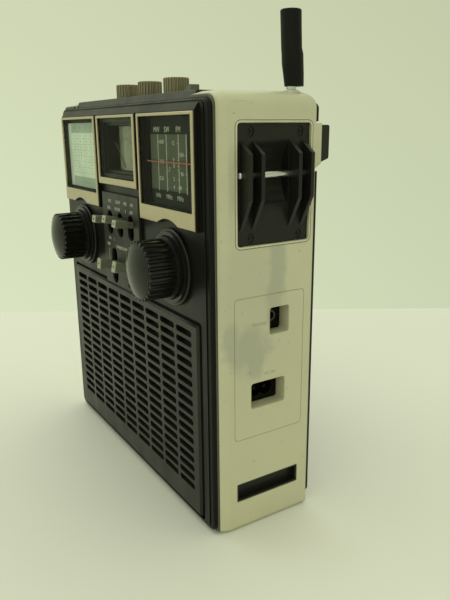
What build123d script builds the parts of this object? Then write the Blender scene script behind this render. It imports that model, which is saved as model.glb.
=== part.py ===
from build123d import *
import os
from math import asin, atan, cos, degrees, radians, sin

# Portable three-band receiver, built piece by piece.
# Millimetres. +Z is up, -Y is the front, +X is the right side seen from the front.
# The origin lies on the underside, midway across the width. "Depth" is measured back from the front
# edge of the cream band, so the control face has small negative depths; the origin is 31 mm deep.

os.makedirs("parts", exist_ok=True)

# ---------------------------------------------------------------- driving dimensions
# case
case_width = 216.8
case_height = 240.0
case_depth = 64.2
band_depth = 61.2
origin_depth = 31.0
band_wall = 3.4
top_radius = 8.0
bottom_radius = 3.0
bevel_depth = 6.8
bevel_inset = 2.0
side_x = case_width / 2
inner_x = side_x - band_wall
rear_lip = 6.0
rear_lip_top = 223.5
rear_lip_bottom = 18.0

# control face
rim_x = 106.2
rim_bottom = 1.4
rim_top = 236.4
rim_proud = 2.2
panel_x = 101.5
panel_bottom = 3.3
panel_top = 235.0
panel_face = -2.7
panel_back = -0.2
block_face = -5.3
frame_thickness = 0.8

# windows, seen from the front
window_top = 228.9
window_bottom = 181.0
window_inner_x = 35.0
window_outer_x = 95.0
centre_window_x = 26.5
centre_window_bottom = 192.5
frame_margin = 2.1
frame_top = 230.4
frame_bottom = 172.4
centre_frame_x = 29.0
centre_frame_bottom = 188.4
plate_face = -1.9
plate_thickness = 1.0
lens_back = -4.2
lens_thickness = 1.0

# front knobs
knob_x = 67.0
knob_z = 148.9
notch_radius = 26.5
ring_radius = 21.5
knob_radius = 16.3
knob_face = -24.5
knob_ridges = 26
cap_radius = 14.5
cap_dome = 3.0
shaft_radius = 3.0

# lever switches
switch_x = 28.2
switch_bottom = 122.4
switch_top = 183.0
switch_face = -5.0
upper_slots_z = 163.7
upper_slots_pitch = 16.2
lower_slots_z = 135.7
lower_slots_x = 12.0
slot_width = 8.8
slot_height = 15.6
lower_slot_height = 23.6
lever_pivot_depth = 8.0
lever_reach = 24.0

# grille and speaker
grille_x = 94.5
grille_bottom = 6.5
grille_top = 121.8
grille_face = -4.3
grille_floor = -1.0
grille_columns = 9
grille_rows = 17
slot_pitch_x = 19.8
slot_pitch_z = 5.82
grille_slot_length = 17.6
grille_slot_height = 3.7
grille_field_z = 68.85
speaker_z = 68.0
speaker_radius = 46.0

# top deck
deck_x = 84.6
deck_back = 44.0
deck_top = 240.8
deck_thickness = 2.5
top_knob_radius = 7.5
top_knob_x = (-39.0, -5.0, 29.8)
top_knob_depth = 22.0
top_knob_flutes = 24

# strap brackets
bracket_depth = 35.05
bracket_z = 194.45
bracket_length = 45.7
bracket_height = 60.5
pocket_depth = 2.8
rib_depths = (15.3, 22.6, 45.7, 53.7)
rib_thickness = 2.1
rib_reach = 8.5
pin_z = 199.7
pin_x = side_x + 0.3
pin_radius = 1.75

# side connectors
jack_panel_depth = 33.0
jack_panel_z = 96.7
jack_panel_length = 45.8
jack_panel_height = 80.8
jack_panel_corner = 2.2
side_slot_depth = 32.85
side_slot_z = 23.6
side_slot_length = 42.5
side_slot_height = 11.2
side_slot_floor = 4.4

# antenna
antenna_x = 98.8
antenna_depth = 52.0
tube_bottom = 122.0
running_gap = 0.09


def front_plane(depth):
    """Plane parallel to the control face and looking forward; local x is X and local y is Z."""
    return Plane.XZ.offset(origin_depth - depth)


def side_plane(x):
    """Plane parallel to the side walls and looking right; local x is Y and local y is Z."""
    return Plane.YZ.offset(x)


def level(z):
    """Horizontal plane at height z."""
    return Plane.XY.offset(z)


def at(depth):
    """Y coordinate of a depth behind the front edge of the band."""
    return depth - origin_depth


# ---------------------------------------------------------------- cream case band
bracket_screws = [(at(d), z) for d in (20.2, 51.0) for z in (168.0, 220.7)]
cover_screws = [(x, z) for x in (-84.0, 0.0, 84.0) for z in (14.6, 227.4)]

with BuildSketch() as case_outline:
    with Locations((0, case_height / 2)):
        Rectangle(case_width, case_height)
    fillet(case_outline.vertices().group_by(Axis.Y)[-1], top_radius)
    fillet(case_outline.vertices().group_by(Axis.Y)[0], bottom_radius)

with BuildPart() as case_band:
    with BuildSketch(front_plane(band_depth)):
        add(case_outline.sketch)
    extrude(amount=band_depth - bevel_depth)
    with BuildSketch(front_plane(bevel_depth)):
        add(case_outline.sketch)
    extrude(amount=bevel_depth, taper=degrees(atan(bevel_inset / bevel_depth)))
    # round the rear top corner
    with BuildSketch(side_plane(-side_x)):
        with Locations((at(band_depth), case_height)):
            Rectangle(2 * top_radius, 2 * top_radius)
        with Locations((at(band_depth) - top_radius, case_height - top_radius)):
            Circle(top_radius, mode=Mode.SUBTRACT)
            Rectangle(
                2 * top_radius, 2 * top_radius, align=(Align.MAX, Align.CENTER), mode=Mode.SUBTRACT
            )
            Rectangle(
                2 * top_radius, top_radius, align=(Align.CENTER, Align.MAX), mode=Mode.SUBTRACT
            )
    extrude(amount=case_width, mode=Mode.SUBTRACT)
    # hollow, open at the front, with a lip round the rear opening
    with BuildSketch(front_plane(band_depth - rear_lip)):
        with Locations((0, case_height / 2)):
            RectangleRounded(2 * inner_x, case_height - 2 * band_wall, 4.6)
    extrude(amount=band_depth, mode=Mode.SUBTRACT)
    with BuildSketch(front_plane(band_depth)):
        with Locations((0, (rear_lip_top + rear_lip_bottom) / 2)):
            RectangleRounded(2 * inner_x, rear_lip_top - rear_lip_bottom, 3)
    extrude(amount=rear_lip, mode=Mode.SUBTRACT)
    for side in (1, -1):
        # thick pad behind the strap bracket, with its pocket, window and screw holes
        with Locations((side * (inner_x - 0.8), at(bracket_depth - 0.5), bracket_z)):
            Box(1.6, bracket_length, bracket_height + 4)
        with BuildSketch(side_plane(side * side_x)):
            with Locations((at(bracket_depth), bracket_z)):
                RectangleRounded(bracket_length, bracket_height, 1.6)
        extrude(amount=-side * pocket_depth, mode=Mode.SUBTRACT)
        with BuildSketch(side_plane(side * side_x)):
            with Locations((at(34.15), pin_z)):
                RectangleRounded(24.5, 36, 3)
        extrude(amount=-side * 8, mode=Mode.SUBTRACT)
        with BuildSketch(side_plane(side * side_x)):
            with Locations(*bracket_screws):
                Circle(1.5)
        extrude(amount=-side * 8, mode=Mode.SUBTRACT)
        # rear bumper boss with a slanted underside
        with BuildSketch(side_plane(side * side_x)):
            with BuildLine():
                Polyline(
                    (at(59.4), 200.3),
                    (at(65.2), 204.0),
                    (at(65.2), 224.3),
                    (at(59.4), 224.3),
                    close=True,
                )
            make_face()
        extrude(amount=-side * 12)
    # opening for the connector panel and the slot below it, right side only
    with BuildSketch(side_plane(side_x)):
        with Locations((at(jack_panel_depth), jack_panel_z)):
            RectangleRounded(jack_panel_length, jack_panel_height, jack_panel_corner)
        with Locations((at(side_slot_depth), side_slot_z)):
            RectangleRounded(side_slot_length, side_slot_height, 0.8)
    extrude(amount=-band_wall - 2, mode=Mode.SUBTRACT)
    # notch and ledge for the top deck, and the hole for the antenna collar
    from_front = (Align.CENTER, Align.MIN, Align.CENTER)
    with Locations((0, at(-1), deck_top)):
        Box(2 * deck_x + 0.8, deck_back + 1.4, 2 * deck_thickness, align=from_front, mode=Mode.SUBTRACT)
    with Locations((0, at(-1), case_height)):
        Box(2 * deck_x + 0.8, 7.8, 10, align=from_front, mode=Mode.SUBTRACT)
    with Locations((0, at(6), case_height)):
        Box(2 * deck_x - 6, deck_back - 9, 10, align=from_front, mode=Mode.SUBTRACT)
    with BuildSketch(level(case_height + 1)):
        with Locations((antenna_x, at(antenna_depth))):
            Circle(4.5)
    extrude(amount=-20, mode=Mode.SUBTRACT)
    # holes for the rear cover's screws in the rear lip
    with BuildSketch(front_plane(band_depth)):
        with Locations(*cover_screws):
            Circle(1.5)
    extrude(amount=5, mode=Mode.SUBTRACT)
case_band.part.label = "case_band"
export_step(case_band.part, "parts/case_band.step")

# ---------------------------------------------------------------- black front rim
rim_height = rim_top - rim_bottom
with BuildPart() as front_rim:
    with BuildSketch(front_plane(0)):
        with Locations((0, (rim_top + rim_bottom) / 2)):
            RectangleRounded(2 * rim_x, rim_height, 6)
    extrude(amount=rim_proud)
    fillet(front_rim.faces().sort_by(Axis.Y)[0].edges(), 1.9)
    with BuildSketch(front_plane(4)):
        with Locations((0, case_height / 2)):
            RectangleRounded(2 * inner_x - 0.4, case_height - 2 * band_wall - 0.4, 4.4)
    extrude(amount=4)
    with BuildSketch(front_plane(panel_back)):
        with Locations((0, (panel_top + panel_bottom) / 2)):
            RectangleRounded(2 * panel_x + 0.6, panel_top - panel_bottom + 0.6, 3.3)
    extrude(amount=10, mode=Mode.SUBTRACT)
    with BuildSketch(front_plane(5)):
        with Locations((0, (panel_top + panel_bottom) / 2)):
            RectangleRounded(2 * panel_x - 4, panel_top - panel_bottom - 4, 3)
    extrude(amount=10, mode=Mode.SUBTRACT)
front_rim.part.label = "front_rim"
export_step(front_rim.part, "parts/front_rim.step")

# ---------------------------------------------------------------- black front panel
window_width = window_outer_x - window_inner_x
window_height = window_top - window_bottom
window_mid_x = (window_outer_x + window_inner_x) / 2
window_mid_z = (window_top + window_bottom) / 2
centre_window_height = window_top - centre_window_bottom
centre_window_mid_z = (window_top + centre_window_bottom) / 2
grille_height = grille_top - grille_bottom
grille_mid_z = (grille_top + grille_bottom) / 2

with BuildPart() as front_panel:
    with BuildSketch(front_plane(panel_back)):
        with Locations((0, (panel_top + panel_bottom) / 2)):
            RectangleRounded(2 * panel_x, panel_top - panel_bottom, 3)
    extrude(amount=panel_back - panel_face)
    # raised blocks under the three window frames, cut round the knobs
    with BuildSketch(front_plane(panel_face)):
        for side in (1, -1):
            with Locations((side * window_mid_x, (frame_top + frame_bottom) / 2)):
                Rectangle(window_width + 5.2, frame_top - frame_bottom + 1)
        with Locations((0, (frame_top + centre_frame_bottom) / 2)):
            Rectangle(2 * centre_frame_x + 1, frame_top - centre_frame_bottom + 1)
        with Locations((knob_x, knob_z), (-knob_x, knob_z)):
            Circle(notch_radius, mode=Mode.SUBTRACT)
    extrude(amount=panel_face - block_face)
    # sloping strip above the windows
    with BuildSketch(side_plane(-window_outer_x - 2.6)):
        with BuildLine():
            Polyline(
                (at(panel_face), panel_top - 0.4),
                (at(block_face), frame_top + 0.5),
                (at(panel_face), frame_top + 0.5),
                close=True,
            )
        make_face()
    extrude(amount=2 * window_outer_x + 5.2)
    # window openings, and pockets behind them for the printed plates
    with BuildSketch(front_plane(1)):
        with Locations((window_mid_x, window_mid_z), (-window_mid_x, window_mid_z)):
            Rectangle(window_width, window_height)
        with Locations((0, centre_window_mid_z)):
            Rectangle(2 * centre_window_x, centre_window_height)
    extrude(amount=10, mode=Mode.SUBTRACT)
    with BuildSketch(front_plane(panel_back)):
        with Locations((window_mid_x, window_mid_z), (-window_mid_x, window_mid_z)):
            Rectangle(window_width + 4, window_height + 4)
    extrude(amount=panel_back - plate_face, mode=Mode.SUBTRACT)
    # pocket for the grille, speaker hole, lever opening and shaft holes
    with BuildSketch(front_plane(grille_floor)):
        with Locations((0, grille_mid_z)):
            RectangleRounded(2 * grille_x + 3.6, grille_height + 3.6, 2)
    extrude(amount=10, mode=Mode.SUBTRACT)
    with BuildSketch(front_plane(1)):
        with Locations((0, speaker_z)):
            Circle(speaker_radius - 3)
        with Locations((0, 148.4)):
            Rectangle(2 * switch_x - 10, 50)
        with Locations((knob_x, knob_z), (-knob_x, knob_z)):
            Circle(shaft_radius + 0.4)
    extrude(amount=10, mode=Mode.SUBTRACT)
front_panel.part.label = "front_panel"
export_step(front_panel.part, "parts/front_panel.step")

# ---------------------------------------------------------------- window frames and lenses
for side, label in ((1, "right"), (-1, "left")):
    with BuildPart() as window_frame:
        with BuildSketch(front_plane(block_face)) as frame_face:
            with Locations((side * window_mid_x, (frame_top + frame_bottom) / 2)):
                Rectangle(window_width + 2 * frame_margin, frame_top - frame_bottom)
            with Locations((side * window_mid_x, window_mid_z)):
                Rectangle(window_width, window_height, mode=Mode.SUBTRACT)
            with Locations((side * knob_x, knob_z)):
                Circle(notch_radius, mode=Mode.SUBTRACT)
            notch_corners = frame_face.vertices().group_by(Axis.Y)[0].sort_by(Axis.X)[1:3]
            fillet(notch_corners, 4)
        extrude(amount=frame_thickness)
        chamfer(window_frame.faces().sort_by(Axis.Y)[0].outer_wire().edges(), 0.25)
    window_frame.part.label = f"window_frame_{label}"
    export_step(window_frame.part, f"parts/window_frame_{label}.step")

    with BuildPart() as window_lens:
        with BuildSketch(front_plane(lens_back)):
            with Locations((side * window_mid_x, window_mid_z)):
                Rectangle(window_width - 0.2, window_height - 0.2)
        extrude(amount=lens_thickness)
    window_lens.part.label = f"window_lens_{label}"
    export_step(window_lens.part, f"parts/window_lens_{label}.step")

with BuildPart() as window_frame_centre:
    with BuildSketch(front_plane(block_face)):
        with Locations((0, (frame_top + centre_frame_bottom) / 2)):
            Rectangle(2 * centre_frame_x, frame_top - centre_frame_bottom)
        with Locations((0, centre_window_mid_z)):
            Rectangle(2 * centre_window_x, centre_window_height, mode=Mode.SUBTRACT)
    extrude(amount=frame_thickness)
    chamfer(window_frame_centre.faces().sort_by(Axis.Y)[0].outer_wire().edges(), 0.25)
window_frame_centre.part.label = "window_frame_centre"
export_step(window_frame_centre.part, "parts/window_frame_centre.step")

with BuildPart() as window_lens_centre:
    with BuildSketch(front_plane(lens_back)):
        with Locations((0, centre_window_mid_z)):
            Rectangle(2 * centre_window_x - 0.2, centre_window_height - 0.2)
    extrude(amount=lens_thickness)
window_lens_centre.part.label = "window_lens_centre"
export_step(window_lens_centre.part, "parts/window_lens_centre.step")

# ---------------------------------------------------------------- printed plates, pointer and meter
pointer_stem_x = 41.2
with BuildPart() as tuning_dial:
    with BuildSketch(front_plane(plate_face + plate_thickness)):
        with Locations((window_mid_x, window_mid_z)):
            Rectangle(window_width + 3.6, window_height + 3.6)
        # slot the pointer's stem runs in
        with Locations((pointer_stem_x, window_mid_z)):
            SlotOverall(window_height - 2, 2.4, rotation=90, mode=Mode.SUBTRACT)
    extrude(amount=plate_thickness)
tuning_dial.part.label = "tuning_dial"
export_step(tuning_dial.part, "parts/tuning_dial.step")

with BuildPart() as chart_plate:
    with BuildSketch(front_plane(plate_face + plate_thickness)):
        with Locations((-window_mid_x, window_mid_z)):
            Rectangle(window_width + 3.6, window_height + 3.6)
    extrude(amount=plate_thickness)
chart_plate.part.label = "chart_plate"
export_step(chart_plate.part, "parts/chart_plate.step")

pointer_z = 205.0
with BuildPart() as dial_pointer:
    with BuildSketch(front_plane(-2.6)):
        with Locations((67.4, pointer_z)):
            Rectangle(54.0, 0.6)
    extrude(amount=0.7)
    with BuildSketch(front_plane(4.4)):
        with Locations((pointer_stem_x, pointer_z)):
            Rectangle(1.6, 0.6)
    extrude(amount=7)
    # runner block behind the plate
    with BuildSketch(front_plane(4.4)):
        with Locations((pointer_stem_x, pointer_z)):
            Rectangle(6, 5)
    extrude(amount=4)
dial_pointer.part.label = "dial_pointer"
export_step(dial_pointer.part, "parts/dial_pointer.step")

with BuildPart() as meter_hood:
    with BuildSketch(front_plane(12)):
        with Locations((0, centre_window_mid_z)):
            Rectangle(2 * centre_window_x - 0.4, centre_window_height - 0.4)
    extrude(amount=15.6)
    with BuildSketch(front_plane(-3.6)):
        with Locations((0, centre_window_mid_z)):
            Rectangle(2 * centre_window_x - 5, centre_window_height - 5)
    extrude(amount=-2.4, mode=Mode.SUBTRACT)
    with BuildSketch(front_plane(-1.2)):
        with Locations((0, centre_window_mid_z)):
            Rectangle(2 * centre_window_x - 8, centre_window_height - 9)
    extrude(amount=-11.6, mode=Mode.SUBTRACT)
meter_hood.part.label = "meter_hood"
export_step(meter_hood.part, "parts/meter_hood.step")

# pale scale inside the hood, bulging forward between its left and right edges
with BuildPart() as meter_scale:
    with BuildSketch(level(centre_window_mid_z - 13.4)):
        with BuildLine():
            scale_front = ThreePointArc((-21.5, at(7.0)), (0, at(1.4)), (21.5, at(7.0)))
            Polyline((21.5, at(7.0)), (21.5, at(9.2)), (-21.5, at(9.2)), (-21.5, at(7.0)))
        make_face()
    extrude(amount=26.8)
meter_scale.part.label = "meter_scale"
export_step(meter_scale.part, "parts/meter_scale.step")

# ---------------------------------------------------------------- lever switches
upper_slots = [(column * upper_slots_pitch, upper_slots_z) for column in (-1, 0, 1)]
lower_slots = [(side * lower_slots_x, lower_slots_z) for side in (-1, 1)]

with BuildPart() as switch_panel:
    with BuildSketch(front_plane(panel_face)):
        with Locations((0, (switch_bottom + switch_top) / 2)):
            Rectangle(2 * switch_x, switch_top - switch_bottom)
    extrude(amount=panel_face - switch_face)
    chamfer(switch_panel.faces().sort_by(Axis.Y)[0].edges(), 0.5)
    with BuildSketch(front_plane(panel_face)):
        with Locations(*upper_slots):
            SlotOverall(slot_height, slot_width, rotation=90)
        with Locations(*lower_slots):
            SlotOverall(lower_slot_height, slot_width, rotation=90)
    extrude(amount=5, mode=Mode.SUBTRACT)
switch_panel.part.label = "switch_panel"
export_step(switch_panel.part, "parts/switch_panel.step")

pivot_pin_radius = 1.0
with BuildPart() as switch_block:
    with Locations((0, at(8.0), 149.5)):
        Box(2 * switch_x - 4, 13.0, 53)
    with Locations(*[(x, at(7.0), z) for x, z in upper_slots]):
        Box(9.0, 13.0, 18, mode=Mode.SUBTRACT)
    with Locations(*[(x, at(7.0), z) for x, z in lower_slots]):
        Box(9.0, 13.0, 23.8, mode=Mode.SUBTRACT)
    for pivot_z in (upper_slots_z, lower_slots_z):
        with BuildSketch(side_plane(-switch_x + 3)):
            with Locations((at(lever_pivot_depth), pivot_z)):
                Circle(pivot_pin_radius)
        extrude(amount=2 * switch_x - 6)
switch_block.part.label = "switch_block"
export_step(switch_block.part, "parts/switch_block.step")

# each lever is drawn along its own centre line, tilted up from the pivot as it stands at rest
levers = (
    ("lever_upper_left", upper_slots[0], 7.5, 4.8),
    ("lever_upper_middle", upper_slots[1], 11.5, 4.8),
    ("lever_upper_right", upper_slots[2], 9.0, 4.8),
    ("lever_lower_left", lower_slots[0], 6.0, 7.2),
    ("lever_lower_right", lower_slots[1], 11.0, 7.2),
)
for label, (lever_x, lever_z), tilt, tip_height in levers:
    lean = radians(tilt)
    lever_plane = Plane(
        origin=(lever_x, at(lever_pivot_depth), lever_z), x_dir=(1, 0, 0), z_dir=(0, -cos(lean), sin(lean))
    )
    with BuildPart() as lever:
        with BuildSketch(side_plane(lever_x - 3)):
            with Locations((at(lever_pivot_depth), lever_z)):
                Circle(3.0)
        extrude(amount=6)
        with BuildSketch(lever_plane.offset(1)):
            Rectangle(3.4, 3.6)
        extrude(amount=16)
        with BuildSketch(lever_plane.offset(15.5)):
            RectangleRounded(4.8, 4.6, 0.8)
        with BuildSketch(lever_plane.offset(lever_reach)):
            RectangleRounded(5.8, tip_height, 0.8)
        loft()
        with BuildSketch(lever_plane.offset(lever_reach)):
            Circle(0.7)
        extrude(amount=-0.8, mode=Mode.SUBTRACT)
        with BuildSketch(side_plane(lever_x - 4)):
            with Locations((at(lever_pivot_depth), lever_z)):
                Circle(pivot_pin_radius + running_gap)
        extrude(amount=8, mode=Mode.SUBTRACT)
    lever.part.label = label
    export_step(lever.part, f"parts/{label}.step")

# ---------------------------------------------------------------- grille and speaker
with BuildPart() as grille_panel:
    with BuildSketch(front_plane(grille_floor)):
        with Locations((0, grille_mid_z)):
            RectangleRounded(2 * grille_x, grille_height, 1.5)
    extrude(amount=grille_floor - grille_face)
    chamfer(grille_panel.faces().sort_by(Axis.Y)[0].edges(), 1.2)
    with BuildSketch(front_plane(grille_floor)):
        with Locations((0, grille_field_z)):
            with GridLocations(slot_pitch_x, slot_pitch_z, grille_columns, grille_rows):
                SlotOverall(grille_slot_length, grille_slot_height)
    extrude(amount=10, mode=Mode.SUBTRACT)
grille_panel.part.label = "grille_panel"
export_step(grille_panel.part, "parts/grille_panel.step")

speaker_plane = Plane(origin=(0, 0, speaker_z), x_dir=(1, 0, 0), z_dir=(0, 0, 1))
speaker_axis = Axis((0, 0, speaker_z), (0, 1, 0))

with BuildPart() as speaker_basket:
    with BuildSketch(speaker_plane):
        with BuildLine():
            Polyline(
                (speaker_radius, at(0.0)),
                (speaker_radius, at(2.4)),
                (speaker_radius - 5, at(2.4)),
                (21.5, at(17.2)),
                (21.5, at(26.5)),
                (0, at(26.5)),
                (0, at(19.0)),
                (13.0, at(19.0)),
                (13.0, at(16.0)),
                (speaker_radius - 5.6, at(1.2)),
                (speaker_radius - 5.6, at(0.0)),
                close=True,
            )
        make_face()
    revolve(axis=speaker_axis)
speaker_basket.part.label = "speaker_basket"
export_step(speaker_basket.part, "parts/speaker_basket.step")

with BuildPart() as speaker_cone:
    with BuildSketch(speaker_plane):
        with BuildLine():
            Polyline(
                (speaker_radius - 5.7, at(0.1)),
                (speaker_radius - 5.7, at(0.9)),
                (12.0, at(15.4)),
                (12.0, at(18.6)),
                (11.0, at(18.6)),
                (11.0, at(14.2)),
                (0, at(11.0)),
                (0, at(10.2)),
                (11.6, at(13.4)),
                (speaker_radius - 7.5, at(0.1)),
                close=True,
            )
        make_face()
    revolve(axis=speaker_axis)
speaker_cone.part.label = "speaker_cone"
export_step(speaker_cone.part, "parts/speaker_cone.step")

# ---------------------------------------------------------------- the two large front knobs
groove_radius = 1.25
dome_radius = (cap_radius**2 + cap_dome**2) / (2 * cap_dome)
dome_angle = degrees(asin(cap_radius / dome_radius))
dome_centre = at(knob_face - cap_dome - 0.2) + dome_radius
for side, label in ((1, "tuning"), (-1, "band")):
    centre = (side * knob_x, knob_z)

    with BuildPart() as knob_ring:
        with BuildSketch(front_plane(panel_face)):
            with Locations(centre):
                Circle(ring_radius)
        extrude(amount=2.4)
        with BuildSketch(front_plane(panel_face - 2.4)):
            with Locations(centre):
                Circle(ring_radius - 1.6)
        extrude(amount=1.4)
        rim_edges = knob_ring.edges().filter_by(GeomType.CIRCLE).group_by(SortBy.RADIUS)[-1]
        fillet(rim_edges.sort_by(Axis.Y)[0], 0.8)
        with BuildSketch(front_plane(panel_face - 2.8)):
            with Locations(centre):
                Circle(knob_radius + 1.4)
        extrude(amount=2, mode=Mode.SUBTRACT)
        with BuildSketch(front_plane(panel_face)):
            with Locations(centre):
                Circle(7.6)
        extrude(amount=6, mode=Mode.SUBTRACT)
    knob_ring.part.label = f"{label}_ring"
    export_step(knob_ring.part, f"parts/{label}_ring.step")

    with BuildPart() as front_knob:
        # skirt, ridged grip and hub
        with BuildSketch(front_plane(-5.9)):
            with Locations(centre):
                Circle(knob_radius + 0.9)
        extrude(amount=2.6)
        with BuildSketch(front_plane(-8.5)):
            with Locations(centre):
                Circle(knob_radius)
        extrude(amount=-8.5 - knob_face)
        fillet(front_knob.faces().sort_by(Axis.Y)[0].edges(), 0.9)
        with BuildSketch(front_plane(-9.6)):
            with Locations(centre):
                with PolarLocations(knob_radius - 0.1, knob_ridges):
                    Circle(groove_radius)
        extrude(amount=30, mode=Mode.SUBTRACT)
        # shallow seat for the cap, hollow back and hub
        with BuildSketch(front_plane(knob_face)):
            with Locations(centre):
                Circle(cap_radius + 0.1)
        extrude(amount=-1.6, mode=Mode.SUBTRACT)
        with BuildSketch(front_plane(-5.9)):
            with Locations(centre):
                Circle(knob_radius - 3)
        extrude(amount=12, mode=Mode.SUBTRACT)
        with BuildSketch(front_plane(-3.4)):
            with Locations(centre):
                Circle(7.0)
        extrude(amount=16)
        with BuildSketch(front_plane(-3.4)):
            with Locations(centre):
                Circle(shaft_radius)
        extrude(amount=17, mode=Mode.SUBTRACT)
    front_knob.part.label = f"{label}_knob"
    export_step(front_knob.part, f"parts/{label}_knob.step")

    with BuildPart() as knob_cap:
        with BuildSketch(Plane(origin=(side * knob_x, 0, knob_z), x_dir=(1, 0, 0), z_dir=(0, 0, 1))):
            with BuildLine():
                dome = CenterArc((0, dome_centre), dome_radius, -90, dome_angle)
                Polyline(dome @ 1, (cap_radius, at(knob_face + 1.5)), (0, at(knob_face + 1.5)), dome @ 0)
            make_face()
        revolve(axis=Axis((side * knob_x, 0, knob_z), (0, 1, 0)))
    knob_cap.part.label = f"{label}_cap"
    export_step(knob_cap.part, f"parts/{label}_cap.step")

    with BuildPart() as knob_shaft:
        with BuildSketch(front_plane(16)):
            with Locations(centre):
                Circle(shaft_radius)
        extrude(amount=16 + 20.4)
    knob_shaft.part.label = f"{label}_shaft"
    export_step(knob_shaft.part, f"parts/{label}_shaft.step")

# rotating-plate capacitor behind the tuning knob: plate stack in an open frame
with BuildPart() as tuning_capacitor:
    with Locations((knob_x, at(19.5), knob_z)):
        Box(26, 23, 26)
    with Locations((knob_x, at(22.5), knob_z + 3)):
        Box(30, 13, 14, mode=Mode.SUBTRACT)
    with Locations(*[(knob_x, at(18.0 + 3.0 * plate), knob_z + 1) for plate in range(4)]):
        Box(22, 1.0, 20)
    with BuildSketch(front_plane(17)):
        with Locations((knob_x, knob_z)):
            Circle(shaft_radius + running_gap)
    extrude(amount=20, mode=Mode.SUBTRACT)
tuning_capacitor.part.label = "tuning_capacitor"
export_step(tuning_capacitor.part, "parts/tuning_capacitor.step")

with BuildPart() as band_switch:
    with BuildSketch(front_plane(22)):
        with Locations((-knob_x, knob_z)):
            Circle(14)
    extrude(amount=14)
    with BuildSketch(front_plane(27)):
        with Locations((-knob_x, knob_z)):
            with PolarLocations(10.5, 12):
                Rectangle(1.0, 2.4)
    extrude(amount=5)
    with BuildSketch(front_plane(17)):
        with Locations((-knob_x, knob_z)):
            Circle(shaft_radius + running_gap)
    extrude(amount=20, mode=Mode.SUBTRACT)
band_switch.part.label = "band_switch"
export_step(band_switch.part, "parts/band_switch.step")

# ---------------------------------------------------------------- top deck, its knobs and the light key
key_x = 51.8
key_half_width = 3.3
with BuildPart() as top_deck:
    with BuildSketch(side_plane(-deck_x)):
        with BuildLine():
            Polyline(
                (at(2.0), 236.6),
                (at(3.9), deck_top),
                (at(deck_back), deck_top),
                (at(deck_back), deck_top - deck_thickness),
                (at(6.4), deck_top - deck_thickness),
                (at(6.4), 236.6),
                close=True,
            )
        make_face()
    extrude(amount=2 * deck_x)
    # sleeves under the deck carry the knob spindles
    with BuildSketch(level(deck_top - 1)):
        with Locations(*[(x, at(top_knob_depth)) for x in top_knob_x]):
            Circle(5.4)
    extrude(amount=-9)
    with BuildSketch(level(deck_top + 1)):
        with Locations(*[(x, at(top_knob_depth)) for x in top_knob_x]):
            Circle(3.0 + running_gap)
        with Locations((key_x, at(20))):
            Rectangle(2 * key_half_width + 1, 6.4)
    extrude(amount=-20, mode=Mode.SUBTRACT)
top_deck.part.label = "top_deck"
export_step(top_deck.part, "parts/top_deck.step")

for label, x in zip(("volume_knob", "bass_knob", "treble_knob"), top_knob_x):
    with BuildPart() as top_knob:
        with BuildSketch(level(deck_top + 0.4)):
            with Locations((x, at(top_knob_depth))):
                Circle(top_knob_radius)
        extrude(amount=9.2)
        fillet(top_knob.faces().sort_by(Axis.Z)[-1].edges(), 0.7)
        with BuildSketch(level(deck_top + 0.4)):
            with Locations((x, at(top_knob_depth))):
                with PolarLocations(top_knob_radius - 0.1, top_knob_flutes):
                    Circle(0.7)
        extrude(amount=12, mode=Mode.SUBTRACT)
        # groove across the top marks the setting
        with Locations((x, at(top_knob_depth) - 4.4, deck_top + 9.6)):
            Box(1.2, 6.4, 1.4, mode=Mode.SUBTRACT)
        with BuildSketch(level(227.5)):
            with Locations((x, at(top_knob_depth))):
                Circle(3.0)
        extrude(amount=deck_top + 1 - 227.5)
    top_knob.part.label = label
    export_step(top_knob.part, f"parts/{label}.step")

with BuildPart() as light_key:
    with BuildSketch(front_plane(22.7)):
        with BuildLine():
            Polyline(
                (key_x - key_half_width, 236.8),
                (key_x + key_half_width, 236.8),
                (key_x + key_half_width, 245.4),
                (key_x + 1.0, 245.6),
                (key_x - key_half_width, 242.2),
                close=True,
            )
        make_face()
    extrude(amount=5.4)
    fillet(light_key.edges().filter_by(Axis.Y).group_by(Axis.Z)[-1], 0.6)
    with Locations((key_x, at(20), 237.4)):
        Box(9.4, 8.4, 1.2)
light_key.part.label = "light_key"
export_step(light_key.part, "parts/light_key.step")

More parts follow.
